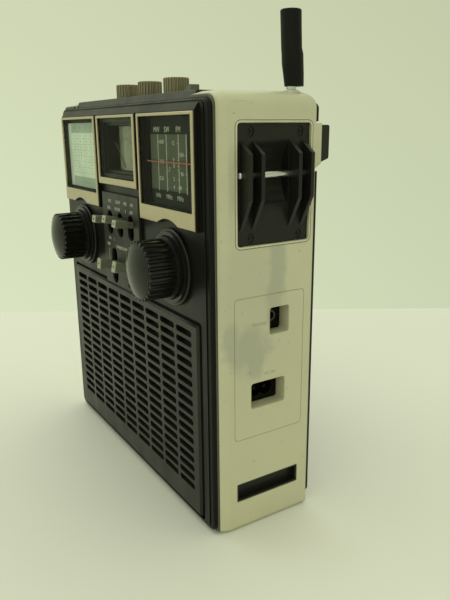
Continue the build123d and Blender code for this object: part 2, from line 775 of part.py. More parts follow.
# ---------------------------------------------------------------- strap brackets, pins and screws
scoop_radius = 24.0
scoop_length = 20.7
screw_recess = 1.3
scoop_depth = 6.5
plate_back_x = side_x - pocket_depth
bracket_face_x = side_x - 1.2
for side, label in ((1, "right"), (-1, "left")):
    with BuildPart() as strap_bracket:
        with BuildSketch(side_plane(side * plate_back_x)):
            with Locations((at(bracket_depth), bracket_z)):
                RectangleRounded(bracket_length - 0.6, bracket_height - 0.6, 1.3)
        extrude(amount=side * (bracket_face_x - plate_back_x))
        # housing of the hollow behind the pin
        with BuildSketch(side_plane(side * plate_back_x)):
            with Locations((at(34.15), pin_z)):
                RectangleRounded(23.9, 35.4, 2.6)
        extrude(amount=-side * 6.7)
        with BuildSketch(Plane.XZ.offset(-at(44.5))):
            with Locations((side * (bracket_face_x - scoop_depth + scoop_radius), pin_z)):
                Circle(scoop_radius)
        extrude(amount=scoop_length, mode=Mode.SUBTRACT)
        scoop_mouth = strap_bracket.edges().filter_by(Axis.Y).filter_by(
            lambda edge: abs(edge.length - scoop_length) < 0.01
        )
        fillet(scoop_mouth, 7)
        # four ribs, flat across the middle and sloping back to the plate
        for depth in rib_depths:
            with BuildSketch(Plane.XZ.offset(-at(depth + rib_thickness / 2))):
                with BuildLine():
                    Polyline(
                        (side * (bracket_face_x - 0.5), 171.0),
                        (side * (bracket_face_x + rib_reach), 188.0),
                        (side * (bracket_face_x + rib_reach), 210.0),
                        (side * (bracket_face_x - 0.5), 216.4),
                        close=True,
                    )
                make_face()
            extrude(amount=rib_thickness)
        with BuildSketch(Plane.XZ.offset(-at(55.1))):
            with Locations((side * pin_x, pin_z)):
                Circle(pin_radius)
        extrude(amount=43.1, mode=Mode.SUBTRACT)
        with BuildSketch(side_plane(side * bracket_face_x)):
            with Locations(*bracket_screws):
                Circle(1.6)
        extrude(amount=-side * 6, mode=Mode.SUBTRACT)
        with BuildSketch(side_plane(side * bracket_face_x)):
            with Locations(*bracket_screws):
                Circle(2.7)
        extrude(amount=-side * screw_recess, mode=Mode.SUBTRACT)
    strap_bracket.part.label = f"strap_bracket_{label}"
    export_step(strap_bracket.part, f"parts/strap_bracket_{label}.step")

    with BuildPart() as strap_pin:
        with BuildSketch(Plane.XZ.offset(-at(54.8))):
            with Locations((side * pin_x, pin_z)):
                Circle(pin_radius)
        extrude(amount=42.3)
        fillet(strap_pin.edges().filter_by(GeomType.CIRCLE), 0.9)
    strap_pin.part.label = f"strap_pin_{label}"
    export_step(strap_pin.part, f"parts/strap_pin_{label}.step")

with BuildPart() as case_screws:
    for side in (1, -1):
        with BuildSketch(side_plane(side * (bracket_face_x - screw_recess))):
            with Locations(*bracket_screws):
                Circle(2.55)
        extrude(amount=side * 0.8)
        with BuildSketch(side_plane(side * (bracket_face_x - screw_recess))):
            with Locations(*bracket_screws):
                Circle(1.45)
        extrude(amount=-side * 2.4)
        with BuildSketch(side_plane(side * (bracket_face_x - screw_recess + 0.8))):
            for screw in bracket_screws:
                with Locations(screw):
                    Rectangle(3.2, 0.6)
                    Rectangle(0.6, 3.2)
        extrude(amount=-side * 0.5, mode=Mode.SUBTRACT)
    with BuildSketch(front_plane(case_depth - 1.0)):
        with Locations(*cover_screws):
            Circle(2.55)
    extrude(amount=-0.9)
    with BuildSketch(front_plane(case_depth - 1.0)):
        with Locations(*cover_screws):
            Circle(1.45)
    extrude(amount=6.4)
    with BuildSketch(front_plane(case_depth - 0.1)):
        for screw in cover_screws:
            with Locations(screw):
                Rectangle(3.2, 0.6)
                Rectangle(0.6, 3.2)
    extrude(amount=0.6, mode=Mode.SUBTRACT)
case_screws.part.label = "case_screws"
export_step(case_screws.part, "parts/case_screws.step")

# ---------------------------------------------------------------- connector panel on the right side
phone_well = (at(39.6), 121.7)
phone_well_length = 12.8
phone_well_height = 15.0
inlet_well = (at(32.5), 80.5)
inlet_well_length = 22.6
inlet_well_height = 14.8
well_floor_x = side_x - 10.2
well_corner = 1.5
well_wall = 1.4
phone_floor_x = side_x - 8.6
phone_axis = (phone_well[0] - 1.4, phone_well[1] + 0.9)
phone_collar_x = side_x - 6.8
inlet_face_x = side_x - 8.1
with BuildPart() as jack_panel:
    with BuildSketch(side_plane(inner_x)):
        with Locations((at(jack_panel_depth), jack_panel_z)):
            RectangleRounded(jack_panel_length - 0.24, jack_panel_height - 0.24, jack_panel_corner - 0.12)
    extrude(amount=band_wall)
    with BuildSketch(side_plane(inner_x)):
        with Locations((at(jack_panel_depth - 1), jack_panel_z)):
            Rectangle(jack_panel_length + 3, jack_panel_height + 5)
    extrude(amount=-1.4)
    with BuildSketch(side_plane(inner_x - 1)):
        with Locations(phone_well):
            Rectangle(phone_well_length + 2 * well_wall, phone_well_height + 2 * well_wall)
        with Locations(inlet_well):
            Rectangle(inlet_well_length + 2 * well_wall, inlet_well_height + 2 * well_wall)
    extrude(amount=-8)
    # two recesses with softened outer edges
    with BuildSketch(side_plane(side_x)):
        with Locations(phone_well):
            RectangleRounded(phone_well_length, phone_well_height, well_corner)
        with Locations(inlet_well):
            RectangleRounded(inlet_well_length, inlet_well_height, well_corner)
    extrude(amount=well_floor_x - side_x, mode=Mode.SUBTRACT)
    fillet(jack_panel.faces().sort_by(Axis.X)[-1].inner_wires().edges(), 0.7)
    with BuildSketch(side_plane(side_x)):
        with Locations(phone_axis):
            Circle(4.1)
        with Locations(inlet_well):
            Rectangle(19.0, 12.0)
    extrude(amount=-20, mode=Mode.SUBTRACT)
jack_panel.part.label = "jack_panel"
export_step(jack_panel.part, "parts/jack_panel.step")

with BuildPart() as phone_jack:
    with BuildSketch(side_plane(86)):
        with Locations(phone_axis):
            Circle(4.0)
    extrude(amount=phone_collar_x - 86)
    # square face of the jack, filling the floor of its recess
    with BuildSketch(side_plane(well_floor_x)):
        with Locations(phone_well):
            RectangleRounded(phone_well_length - 0.3, phone_well_height - 0.3, well_corner - 0.1)
    extrude(amount=phone_floor_x - well_floor_x)
    with Locations((91, *phone_axis)):
        Box(8, 12, 11)
    with BuildSketch(side_plane(side_x)):
        with Locations(phone_axis):
            Circle(1.8)
    extrude(amount=-20, mode=Mode.SUBTRACT)
phone_jack.part.label = "phone_jack"
export_step(phone_jack.part, "parts/phone_jack.step")

with BuildPart() as power_inlet:
    with BuildSketch(side_plane(well_floor_x)):
        with Locations(inlet_well):
            RectangleRounded(inlet_well_length - 0.3, inlet_well_height - 0.3, well_corner - 0.1)
    extrude(amount=inlet_face_x - well_floor_x)
    with BuildSketch(side_plane(well_floor_x)):
        with Locations(inlet_well):
            Rectangle(18.6, 11.6)
    extrude(amount=-8)
    # two-lobed socket mouth with its two contact pins
    with BuildSketch(side_plane(inlet_face_x)):
        with Locations((inlet_well[0] - 3.6, inlet_well[1]), (inlet_well[0] + 3.6, inlet_well[1])):
            Circle(4.4)
    extrude(amount=-7, mode=Mode.SUBTRACT)
    with BuildSketch(side_plane(inlet_face_x - 7.1)):
        with Locations((inlet_well[0] - 3.6, inlet_well[1]), (inlet_well[0] + 3.6, inlet_well[1])):
            Circle(1.2)
    extrude(amount=6)
power_inlet.part.label = "power_inlet"
export_step(power_inlet.part, "parts/power_inlet.step")

with BuildPart() as slot_liner:
    with BuildSketch(side_plane(side_x - side_slot_floor - 1.4)):
        with Locations((at(side_slot_depth), side_slot_z)):
            Rectangle(side_slot_length - 0.4, side_slot_height - 0.4)
    extrude(amount=side_slot_floor + 1.1)
    with BuildSketch(side_plane(side_x)):
        with Locations((at(side_slot_depth), side_slot_z)):
            Rectangle(side_slot_length - 2.2, side_slot_height - 2.2)
    extrude(amount=-side_slot_floor, mode=Mode.SUBTRACT)
slot_liner.part.label = "slot_liner"
export_step(slot_liner.part, "parts/slot_liner.step")

# ---------------------------------------------------------------- rear cover, battery bay and pads
cover_x = 107.4
cover_top = 234.5
cover_bottom = 7.0
bay_x = 56.0
bay_bottom = 22.6
bay_top = 81.0
door_x = 60.0
door_top = 84.0
door_bottom = 19.0
cell_radius = 13.1
cell_length = 50.0
cell_depth = 48.1
cover_face = case_depth
with BuildPart() as rear_cover:
    with BuildSketch(front_plane(cover_face)):
        with Locations((0, (cover_top + cover_bottom) / 2)):
            RectangleRounded(2 * cover_x, cover_top - cover_bottom, 3)
    extrude(amount=cover_face - band_depth)
    fillet(rear_cover.faces().sort_by(Axis.Y)[-1].edges(), 1.2)
    # battery bay reaching forward into the case
    with BuildSketch(front_plane(band_depth)):
        with Locations((0, (bay_top + bay_bottom) / 2)):
            Rectangle(2 * bay_x + 3.6, bay_top - bay_bottom + 3.6)
    extrude(amount=28)
    with BuildSketch(front_plane(cover_face + 1)):
        with Locations((0, (bay_top + bay_bottom) / 2)):
            Rectangle(2 * bay_x, bay_top - bay_bottom)
    extrude(amount=30.4, mode=Mode.SUBTRACT)
    # rebate for the battery door
    with BuildSketch(front_plane(cover_face + 1)):
        with Locations((0, (door_top + door_bottom) / 2)):
            Rectangle(2 * door_x, door_top - door_bottom)
    extrude(amount=2.6, mode=Mode.SUBTRACT)
    # notches for the bumper bosses
    for side in (1, -1):
        with Locations((side * (side_x - 5), at(62), 212.5)):
            Box(15, 12, 25.4, mode=Mode.SUBTRACT)
    with BuildSketch(front_plane(cover_face)):
        with Locations(*cover_screws):
            Circle(2.7)
    extrude(amount=1.0, mode=Mode.SUBTRACT)
    with BuildSketch(front_plane(cover_face)):
        with Locations(*cover_screws):
            Circle(1.6)
    extrude(amount=6, mode=Mode.SUBTRACT)
rear_cover.part.label = "rear_cover"
export_step(rear_cover.part, "parts/rear_cover.step")

with BuildPart() as battery_door:
    with BuildSketch(front_plane(cover_face)):
        with Locations((0, (door_top + door_bottom) / 2)):
            Rectangle(2 * door_x - 0.8, door_top - door_bottom - 0.8)
    extrude(amount=1.3)
    # thumb ridges along the upper edge
    with Locations(*[(0, at(cover_face) + 0.1, door_top - 5 - 2.4 * ridge) for ridge in range(4)]):
        Box(24, 0.9, 1.1)
battery_door.part.label = "battery_door"
export_step(battery_door.part, "parts/battery_door.step")

cell_rows = (bay_bottom + 14.6, bay_top - 14.6)
with BuildPart() as battery_cells:
    for side in (1, -1):
        for row_z in cell_rows:
            with BuildSketch(side_plane(side * 1.4)):
                with Locations((at(cell_depth), row_z)):
                    Circle(cell_radius)
            extrude(amount=side * cell_length)
            with BuildSketch(side_plane(side * (1.4 + cell_length))):
                with Locations((at(cell_depth), row_z)):
                    Circle(3.2)
            extrude(amount=side * 1.6)
battery_cells.part.label = "battery_cells"
export_step(battery_cells.part, "parts/battery_cells.step")

with BuildPart() as battery_contacts:
    for side in (1, -1):
        with Locations((side * (bay_x - 0.6), at(cell_depth), (bay_top + bay_bottom) / 2)):
            Box(0.8, 22, bay_top - bay_bottom - 8)
        for row_z in cell_rows:
            with Locations((side * (bay_x - 1.7), at(cell_depth), row_z)):
                Box(1.6, 7, 9)
battery_contacts.part.label = "battery_contacts"
export_step(battery_contacts.part, "parts/battery_contacts.step")

with BuildPart() as rear_pads:
    for side in (1, -1):
        with BuildSketch(side_plane(side * (side_x - 0.3))):
            with BuildLine():
                Polyline(
                    (at(65.2), 204.5),
                    (at(70.6), 206.4),
                    (at(70.6), 223.5),
                    (at(65.2), 223.5),
                    close=True,
                )
            make_face()
        extrude(amount=-side * 11.4)
    fillet(rear_pads.edges().filter_by(Axis.X).group_by(Axis.Y)[-1], 1.2)
rear_pads.part.label = "rear_pads"
export_step(rear_pads.part, "parts/rear_pads.step")

# ---------------------------------------------------------------- circuit board and ferrite antenna
with BuildPart() as main_board:
    with Locations((0, at(33.8), 166)):
        Box(168, 1.6, 118)
    # coil cans, capacitors and a chip on the rear of the board
    with Locations(*[(x, at(39.5), z) for x in (-60, -40, -20, 0) for z in (130, 152)]):
        Box(8, 10, 8)
    with Locations((30, at(36.5), 140)):
        Box(20, 4.4, 7)
    with BuildSketch(front_plane(34.4)):
        with Locations(*[(x, z) for x in (18, 34, 50) for z in (160, 176)]):
            Circle(4.2)
    extrude(amount=-13)
main_board.part.label = "main_board"
export_step(main_board.part, "parts/main_board.step")

rod_z = 208.0
rod_depth = 47.0
with BuildPart() as ferrite_rod:
    with BuildSketch(side_plane(-82)):
        with Locations((at(rod_depth), rod_z)):
            Circle(4.8)
    extrude(amount=160)
    with BuildSketch(side_plane(-58)):
        with Locations((at(rod_depth), rod_z)):
            Circle(6.2)
    extrude(amount=34)
    with BuildSketch(side_plane(24)):
        with Locations((at(rod_depth), rod_z)):
            Circle(6.2)
    extrude(amount=22)
    # clips holding the rod to the board
    with Locations((-70, at(41), rod_z), (66, at(41), rod_z)):
        Box(5, 12.8, 12)
ferrite_rod.part.label = "ferrite_rod"
export_step(ferrite_rod.part, "parts/ferrite_rod.step")

# ---------------------------------------------------------------- telescopic antenna, pushed in
collar_top = 240.4
socket_radius = 4.4
lower_radius = 3.7
middle_radius = 2.9
tip_radius = 2.1
tube_wall = 0.7
antenna_centre = (antenna_x, at(antenna_depth))

with BuildPart() as antenna_socket:
    with BuildSketch(level(tube_bottom)):
        with Locations(antenna_centre):
            Circle(socket_radius)
    extrude(amount=collar_top - tube_bottom)
    with BuildSketch(level(tube_bottom + 1.5)):
        with Locations(antenna_centre):
            Circle(lower_radius + running_gap)
    extrude(amount=130, mode=Mode.SUBTRACT)
    # foot that ties the tube to the case
    with Locations((antenna_x - 2.2, at(antenna_depth), tube_bottom - 1.5)):
        Box(12, 9, 3)
antenna_socket.part.label = "antenna_socket"
export_step(antenna_socket.part, "parts/antenna_socket.step")

with BuildPart() as antenna_lower:
    with BuildSketch(level(tube_bottom + 1.8)):
        with Locations(antenna_centre):
            Circle(lower_radius)
            Circle(middle_radius + running_gap, mode=Mode.SUBTRACT)
    extrude(amount=collar_top + 0.2 - tube_bottom - 1.8)
antenna_lower.part.label = "antenna_lower"
export_step(antenna_lower.part, "parts/antenna_lower.step")

with BuildPart() as antenna_middle:
    with BuildSketch(level(tube_bottom + 2.1)):
        with Locations(antenna_centre):
            Circle(middle_radius)
            Circle(tip_radius + running_gap, mode=Mode.SUBTRACT)
    extrude(amount=collar_top + 0.4 - tube_bottom - 2.1)
antenna_middle.part.label = "antenna_middle"
export_step(antenna_middle.part, "parts/antenna_middle.step")

grip_bottom = 242.6
grip_top = 279.0
with BuildPart() as antenna_tip:
    with BuildSketch(level(tube_bottom + 2.4)):
        with Locations(antenna_centre):
            Circle(tip_radius)
    extrude(amount=grip_top - 8 - tube_bottom - 2.4)
    with BuildSketch(level(collar_top + 0.7)):
        with Locations(antenna_centre):
            Circle(2.6)
    extrude(amount=grip_bottom - collar_top - 0.7)
antenna_tip.part.label = "antenna_tip"
export_step(antenna_tip.part, "parts/antenna_tip.step")

# soft rubber grip that has taken a slight bend: height, sideways drift of its middle, radius
grip_sections = (
    (grip_bottom, 1.35, 4.95),
    (248.5, 0.9, 5.3),
    (253.5, 0.4, 5.55),
    (258.0, 0.2, 5.55),
    (261.0, -0.3, 5.3),
    (269.5, -0.65, 5.3),
    (grip_top, -1.0, 5.35),
)
bend_heading = radians(57.7)
with BuildPart() as antenna_grip:
    for section_z, drift, section_radius in grip_sections:
        section_x = antenna_x + drift * cos(bend_heading)
        section_y = at(antenna_depth) + drift * sin(bend_heading)
        with BuildSketch(level(section_z)):
            with Locations((section_x, section_y)):
                Circle(section_radius)
    loft(ruled=True)
    fillet(antenna_grip.faces().sort_by(Axis.Z)[-1].edges(), 0.8)
    with BuildSketch(level(grip_bottom)):
        with Locations(antenna_centre):
            Circle(tip_radius)
    extrude(amount=grip_top - 8 - grip_bottom, mode=Mode.SUBTRACT)
antenna_grip.part.label = "antenna_grip"
export_step(antenna_grip.part, "parts/antenna_grip.step")
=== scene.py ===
"""Looks for a portable broadcast receiver with a pale wrap-round case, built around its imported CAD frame."""

import math

import bmesh
import bpy
from mathutils import Matrix, Vector


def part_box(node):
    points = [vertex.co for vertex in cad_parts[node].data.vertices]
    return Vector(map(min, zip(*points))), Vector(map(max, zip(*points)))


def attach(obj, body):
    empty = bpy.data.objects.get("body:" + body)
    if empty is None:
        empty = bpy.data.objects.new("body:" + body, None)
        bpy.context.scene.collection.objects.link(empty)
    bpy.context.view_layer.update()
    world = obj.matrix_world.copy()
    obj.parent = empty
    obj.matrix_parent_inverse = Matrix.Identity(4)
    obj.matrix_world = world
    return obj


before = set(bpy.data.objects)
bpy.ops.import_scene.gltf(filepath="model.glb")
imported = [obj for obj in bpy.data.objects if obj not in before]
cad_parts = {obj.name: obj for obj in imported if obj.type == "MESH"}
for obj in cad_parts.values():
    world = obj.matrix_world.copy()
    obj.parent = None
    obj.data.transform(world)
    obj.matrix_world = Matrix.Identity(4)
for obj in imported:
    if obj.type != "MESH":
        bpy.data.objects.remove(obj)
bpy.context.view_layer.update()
MM = 0.001


def srgb(red, green, blue):
    """A display colour of 0 to 255 as linear RGBA."""
    shares = (red / 255, green / 255, blue / 255)
    return (*[c / 12.92 if c < 0.0404 else ((c + 0.055) / 1.055) ** 2.4 for c in shares], 1)


def shade(colour, factor):
    """The same RGBA colour, lighter or darker."""
    return (*[min(1, c * factor) for c in colour[:3]], 1)


# ---------------------------------------------------------------- camera, floor, light
YAW = math.radians(57.74)
PITCH = math.radians(15.63)
ROLL = math.radians(-0.503)
EYE = Vector((0.36241, -0.18689, 0.22235))
LENS = 36.904


def make_camera():
    ahead = Vector((-math.sin(YAW) * math.cos(PITCH), math.cos(YAW) * math.cos(PITCH), -math.sin(PITCH)))
    level = Vector((math.cos(YAW), math.sin(YAW), 0))
    above = level.cross(ahead)
    right = level * math.cos(ROLL) + above * math.sin(ROLL)
    top = above * math.cos(ROLL) - level * math.sin(ROLL)
    data = bpy.data.cameras.new("camera")
    data.sensor_width = 36
    data.lens = LENS
    data.clip_start = 0.01
    camera = bpy.data.objects.new("camera", data)
    camera.matrix_world = Matrix.Translation(EYE) @ Matrix((right, top, -ahead)).transposed().to_4x4()
    bpy.context.scene.collection.objects.link(camera)
    bpy.context.scene.camera = camera


class Look:
    """A node material whose textures lie in the part's own frame, in metres."""

    def __init__(self, name, rough=0.5, **fixed):
        self.material = bpy.data.materials.new(name)
        self.material.use_nodes = True
        self.tree = self.material.node_tree
        self.shader = self.tree.nodes["Principled BSDF"]
        self.set("Roughness", rough)
        for key, value in fixed.items():
            self.set(key.replace("_", " "), value)
        self.place = self.node("ShaderNodeTexCoord").outputs["Object"]

    def set(self, socket, value):
        target = self.shader.inputs[socket]
        if isinstance(value, bpy.types.NodeSocket):
            self.tree.links.new(value, target)
        else:
            target.default_value = value

    def node(self, kind, inputs=None, **settings):
        made = self.tree.nodes.new(kind)
        for key, value in settings.items():
            setattr(made, key, value)
        for key, value in (inputs or {}).items():
            if isinstance(value, bpy.types.NodeSocket):
                self.tree.links.new(value, made.inputs[key])
            else:
                made.inputs[key].default_value = value
        return made

    def stretched(self, stretch, at=(0, 0, 0)):
        inputs = {"Vector": self.place, "Scale": stretch, "Location": at}
        return self.node("ShaderNodeMapping", inputs).outputs[0]

    def noise(self, scale, detail=3, roughness=0.55, stretch=(1, 1, 1), at=(0, 0, 0)):
        """Noise of about 1 / scale metres a lump."""
        inputs = {"Vector": self.stretched(stretch, at)}
        inputs |= {"Scale": scale, "Detail": detail, "Roughness": roughness}
        return self.node("ShaderNodeTexNoise", inputs).outputs[0]

    def remap(self, value, low, high, start=0.0, end=1.0):
        inputs = {"Value": value, "From Min": low, "From Max": high, "To Min": start, "To Max": end}
        return self.node("ShaderNodeMapRange", inputs).outputs[0]

    def maths(self, operation, a, b=0.0):
        return self.node("ShaderNodeMath", {0: a, 1: b}, operation=operation).outputs[0]

    def mix(self, share, a, b):
        made = self.node("ShaderNodeMix", data_type="RGBA")
        for index, value in ((0, share), (6, a), (7, b)):
            if isinstance(value, bpy.types.NodeSocket):
                self.tree.links.new(value, made.inputs[index])
            else:
                made.inputs[index].default_value = value
        return made.outputs[2]

    def axes(self):
        return self.node("ShaderNodeSeparateXYZ", {"Vector": self.place}).outputs

    def blob(self, centre, radii, soft=0.5, wobble=None):
        """1 near a point of the frame and 0 beyond the radii, with a soft and, if asked, wobbling edge."""
        scale = [1 / r for r in radii]
        at = [-c / r for c, r in zip(centre, radii)]
        away = self.node("ShaderNodeVectorMath", {0: self.stretched(scale, at)}, operation="LENGTH")
        length = away.outputs["Value"]
        if wobble is not None:
            length = self.maths("ADD", length, wobble)
        return self.remap(length, 1 + soft, 1 - soft)

    def bump(self, height, distance, strength=1.0):
        inputs = {"Height": height, "Distance": distance, "Strength": strength}
        if self.shader.inputs["Normal"].is_linked:
            inputs["Normal"] = self.shader.inputs["Normal"].links[0].from_socket
        self.set("Normal", self.node("ShaderNodeBump", inputs).outputs[0])


def rounded_edges(look, radius=0.35 * MM):
    """Softens what the light sees of an edge too small to model."""
    look.set("Normal", look.node("ShaderNodeBevel", {"Radius": radius}, samples=4).outputs[0])


def worn(look, radius=0.5 * MM, low=0.03, high=0.25):
    """1 along outward and inward edges, from how far a rounded normal leans away from the true one."""
    bevel = look.node("ShaderNodeBevel", {"Radius": radius}, samples=4).outputs[0]
    true = look.node("ShaderNodeNewGeometry").outputs["Normal"]
    lean = look.node("ShaderNodeVectorMath", {0: bevel, 1: true}, operation="DOT_PRODUCT")
    return look.remap(lean.outputs["Value"], 1 - low, 1 - high)


def occlusion_shade(look, reach):
    """1 far down in a groove and 0 on open faces, the mask for painted shade in grooves; reach is how far the
    groove walls may stand, in metres.
    """
    occlusion = look.node("ShaderNodeAmbientOcclusion", {"Distance": reach}, samples=6).outputs["AO"]
    return look.remap(occlusion, 0.72, 0.35)


def plastic(name, colour, rough=0.42, dust=0.25, grain=0.02, scale=700, edge=1.6, spec=0.45, groove=0):
    """Moulded plastic: grain, patchy sheen, dust, edges rubbed lighter, painted shade darkening slots groove
    mm wide.
    """
    look = Look(name, rough, Specular_IOR_Level=spec)
    rounded_edges(look)
    patch = look.noise(38, 4, 0.6)
    tint = look.mix(look.remap(patch, 0.35, 0.7), shade(colour, 0.86), shade(colour, 1.14))
    dusty = look.remap(look.noise(210, 6, 0.75, at=(3, 1, 2)), 0.52, 0.78, 0, dust)
    tint = look.mix(dusty, tint, shade(colour, 2.2) if colour[1] < 0.2 else shade(colour, 0.75))
    scuff = look.remap(look.noise(120, 5, 0.7, at=(7, 5, 1)), 0.35, 0.75)
    rubbed = look.maths("MULTIPLY", worn(look), scuff)
    tint = look.mix(rubbed, tint, shade(colour, edge))
    smears = look.noise(60, 4, 0.65, stretch=(1, 1, 0.45), at=(1, 8, 4))
    sheen = look.remap(smears, 0.3, 0.75, rough * 0.8, min(1, rough * 1.3))
    if groove:
        # painted shade: base colour darkened far down in grooves, where shadow falls
        groove_shade = occlusion_shade(look, groove * MM)
        tint = look.mix(groove_shade, tint, shade(colour, 0.1))
        sheen = look.maths("ADD", sheen, look.maths("MULTIPLY", groove_shade, 0.6))
    look.set("Base Color", tint)
    look.set("Roughness", sheen)
    look.bump(look.noise(scale, 2, 0.5), grain * MM)
    return look


def metal(name, colour, rough=0.3, stretch=(1, 1, 1), scale=900, grime=0.25, metallic=1.0, groove=0):
    """Brushed or turned metal: fine lines across one axis, tarnish, and painted shade in slots groove mm wide.
    """
    look = Look(name, rough, Metallic=metallic)
    rounded_edges(look, 0.2 * MM)
    lines = look.noise(scale, 3, 0.6, stretch=stretch)
    cloud = look.remap(look.noise(90, 5, 0.65), 0.42, 0.75, 0, grime)
    tint = look.mix(lines, shade(colour, 0.9), shade(colour, 1.08))
    tint = look.mix(cloud, tint, shade(colour, 0.55))
    if groove:
        # painted shade: colour darkened far down in grooves, where shadow falls
        tint = look.mix(occlusion_shade(look, groove * MM), tint, shade(colour, 0.15))
    look.set("Base Color", tint)
    sheen = look.noise(160, 4, 0.6, at=(2, 2, 2))
    look.set("Roughness", look.remap(sheen, 0.3, 0.7, rough * 0.8, rough * 1.35))
    look.bump(lines, 0.006 * MM)
    return look


CREAM = (0.590, 0.568, 0.420, 1)
CREAM_YELLOWED = (0.60, 0.575, 0.375, 1)
CREAM_HAZED = (0.415, 0.435, 0.340, 1)
CREAM_STAINED = (0.335, 0.350, 0.300, 1)
CREAM_STREAKED = (0.33, 0.31, 0.22, 1)
CREAM_SPECKED = (0.2, 0.19, 0.14, 1)
CREAM_RUBBED = (0.40, 0.365, 0.255, 1)
CREAM_SCRATCHED = (0.42, 0.39, 0.29, 1)
CREAM_GRUBBY = (0.36, 0.33, 0.235, 1)
# painted shadow: the dark colour laid along the case's front edge, where it meets the front shell in shade
GAP_SHADOW_PAINTED = (0.020, 0.019, 0.013, 1)
# the painted shadow line at the case's front edge begins here, in millimetres along Y
CREAM_EDGE = -29.8
# the smoky marks on the right side: centre and radii in millimetres
HAZE = ((108.4, -13.0, 138.0), (9, 18, 36))
STAINS = (
    ((108.4, 7.0, 150.0), (9, 5.5, 17)),
    ((108.4, 4.5, 131.0), (9, 4.8, 13)),
    ((108.4, -13.0, 109.5), (9, 14.0, 9.5)),
    ((108.4, -7.0, 101.0), (9, 5.5, 9)),
    ((108.4, -23.0, 115.0), (9, 6.0, 8)),
)


def cream_look():
    """Aged ivory paintwork: yellowed below, smoky on the right, streaked above, rubbed at the front, with a
    painted shadow line along its front edge.
    """
    look = Look("aged_ivory", 0.4, Specular_IOR_Level=0.45, Coat_Weight=0.12, Coat_Roughness=0.25)
    rounded_edges(look, 0.6 * MM)
    _, y, z = look.axes()
    cloud = look.remap(look.noise(16, 5, 0.6), 0.3, 0.72)
    tint = look.mix(cloud, shade(CREAM, 0.94), shade(CREAM, 1.05))

    def laid(share, strength, colour):
        return look.mix(look.maths("MULTIPLY", share, strength), tint, colour)

    tint = laid(look.remap(z, 0.11, 0.0), 0.30, CREAM_YELLOWED)
    edge = look.remap(look.noise(90, 5, 0.7, at=(4, 4, 4)), 0.2, 0.8, -0.45, 0.45)
    drift = look.remap(look.noise(30, 4, 0.6, at=(2, 7, 1)), 0.3, 0.7, -0.3, 0.3)
    wander = look.maths("ADD", edge, drift)
    spots = [
        look.blob([c * MM for c in centre], [r * MM for r in radii], soft, wander)
        for (centre, radii), soft in ((HAZE, 0.5), *((mark, 0.32) for mark in STAINS))
    ]
    tint = laid(spots[0], 0.34, CREAM_HAZED)
    stain = spots[1]
    for spot in spots[2:]:
        stain = look.maths("MAXIMUM", stain, spot)
    tint = laid(stain, 0.5, CREAM_STAINED)
    streaks = look.remap(look.noise(170, 4, 0.7, stretch=(1, 0.16, 1.4), at=(6, 2, 8)), 0.58, 0.68)
    tint = laid(streaks, look.remap(z, 0.218, 0.232, 0.0, 0.35), CREAM_STREAKED)
    tint = laid(look.remap(look.noise(420, 2, 0.5, at=(9, 1, 1)), 0.725, 0.76), 0.5, CREAM_SPECKED)
    front = look.maths("MULTIPLY", look.remap(y, -27.9 * MM, -30.0 * MM), look.remap(z, 0.10, 0.16))
    patchy = look.remap(look.noise(45, 5, 0.7, stretch=(1, 1, 0.3)), 0.3, 0.7, 0.2, 0.6)
    tint = laid(front, patchy, CREAM_RUBBED)
    # painted shadow: a dark line at the case's front edge, standing in for the shade where it meets the front
    # shell
    gap_shadow = look.remap(y, CREAM_EDGE * MM, (CREAM_EDGE - 0.2) * MM, 0.0, 0.92)
    tint = look.mix(gap_shadow, tint, GAP_SHADOW_PAINTED)
    scratch = look.noise(260, 3, 0.6, stretch=(1, 1, 0.08), at=(3, 3, 9))
    tint = laid(look.remap(scratch, 0.68, 0.74), 0.25, CREAM_SCRATCHED)
    tint = laid(worn(look, 0.9 * MM, 0.02, 0.3), 0.45, CREAM_GRUBBY)
    look.set("Base Color", tint)
    look.set("Roughness", look.remap(look.noise(50, 4, 0.6, at=(6, 1, 5)), 0.3, 0.7, 0.33, 0.5))
    look.bump(look.noise(850, 2, 0.5), 0.012 * MM)
    look.bump(look.noise(35, 3, 0.5, at=(1, 2, 3)), 0.06 * MM, 0.6)
    return look


